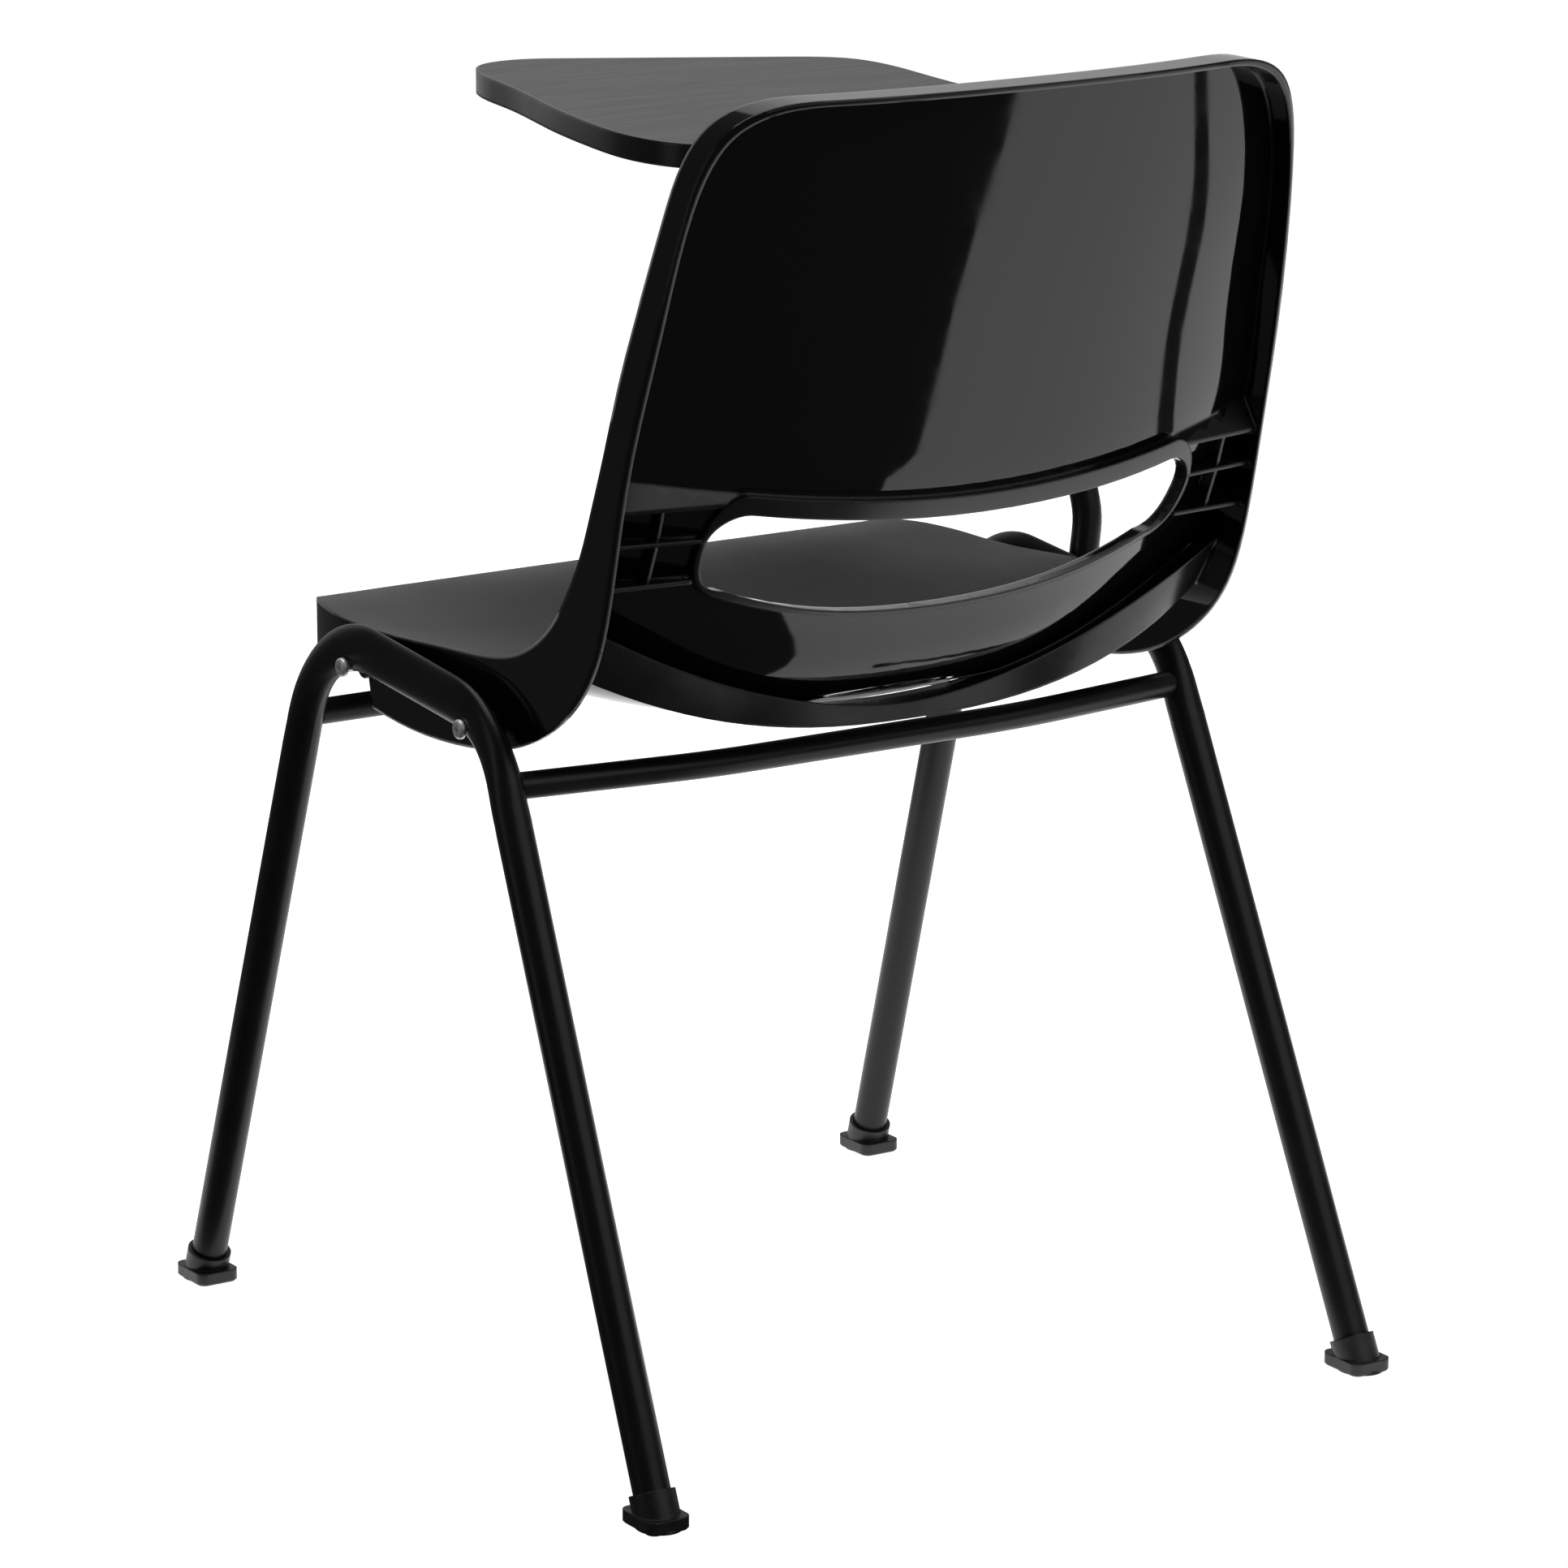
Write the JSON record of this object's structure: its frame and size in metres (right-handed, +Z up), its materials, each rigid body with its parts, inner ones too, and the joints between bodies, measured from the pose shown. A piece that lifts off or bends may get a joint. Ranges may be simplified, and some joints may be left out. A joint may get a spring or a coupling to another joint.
{
  "type": "student desk chair",
  "caption": "Stacking shell chair on a bent-tube frame, with a hand slot in the back and a flip-up writing tablet on the sitter's right.",
  "frame": {"origin": "centre of the whole chair's bounding-box footprint, at floor level", "axes": "+Z up, the sitter faces -Y, +X is the sitter's left"},
  "size_m": [0.5475, 0.7313, 0.8036],
  "materials": {
    "shell_plastic": "glossy moulded polypropylene, fine texture on the sitter's side",
    "frame_paint": "satin black powder coat",
    "glide_plastic": "matte moulded nylon",
    "zinc_screw": "bright zinc plate",
    "board": "raw particle board",
    "laminate": "matte charcoal laminate",
    "edge_band": "smooth black edge band",
    "bush_plastic": "natural acetal"
  },
  "bodies": {
    "chair": {"seat_shell": "shell_plastic", "side_frame_left": "frame_paint", "side_frame_right": "frame_paint", "rear_crossbar": "frame_paint", "front_crossbar": "frame_paint", "glide_front_left": "glide_plastic", "glide_front_right": "glide_plastic", "glide_rear_left": "glide_plastic", "glide_rear_right": "glide_plastic", "frame_screws_left": "zinc_screw", "frame_screws_right": "zinc_screw", "frame_washers_left": "zinc_screw", "frame_washers_right": "zinc_screw", "frame_lock_nuts_left": "zinc_screw", "frame_lock_nuts_right": "zinc_screw", "arm_tube": "frame_paint", "arm_end_plug": "glide_plastic", "flip_stop_saddle": "frame_paint"},
    "tablet": {"tablet_core": "board", "tablet_laminate": "laminate", "tablet_backer": "laminate", "tablet_edge_band": "edge_band", "hinge_strap_front": "frame_paint", "hinge_strap_rear": "frame_paint", "hinge_bush_front": "bush_plastic", "hinge_bush_rear": "bush_plastic", "tablet_screws": "zinc_screw"}
  },
  "joints": [
    {"name": "tablet_flip", "type": "hinge", "parent": "chair", "child": "tablet", "pos_m": [-0.2382, -0.1333, 0.6925], "axis": [0, -1, 0], "range_deg": [0, 90]}
  ]
}
